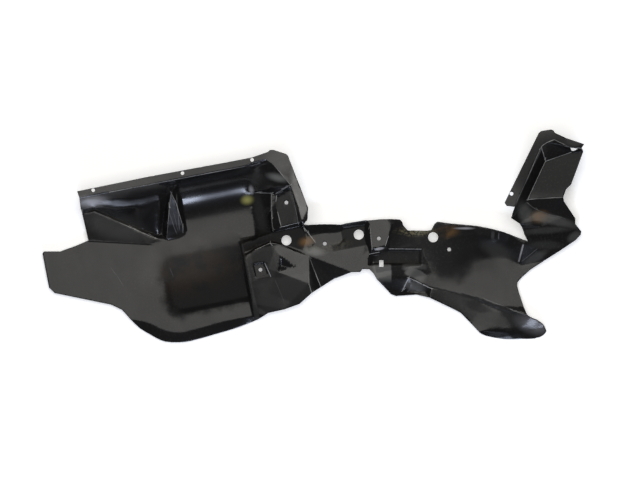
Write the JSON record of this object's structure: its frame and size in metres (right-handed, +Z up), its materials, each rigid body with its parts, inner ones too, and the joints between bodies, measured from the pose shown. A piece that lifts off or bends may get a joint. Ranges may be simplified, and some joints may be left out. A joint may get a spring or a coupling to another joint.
{
  "type": "wheel arch liner",
  "caption": "Moulded plastic liner for a wheel arch: a tub with a screw flange, a faceted bridge with bolt holes, and a lobe with a raised wing.",
  "frame": {"origin": "centre of the part's footprint, at the table that it lies on", "axes": "+X along the tub's screw flange towards the wing, +Y towards that flange, +Z up out of the tub"},
  "size_m": [1.103, 0.469, 0.0885],
  "materials": {
    "black_plastic": "semi-gloss black moulded polypropylene, lightly dusty and scuffed"
  },
  "bodies": {
    "root": {"liner": "black_plastic"}
  },
  "joints": []
}
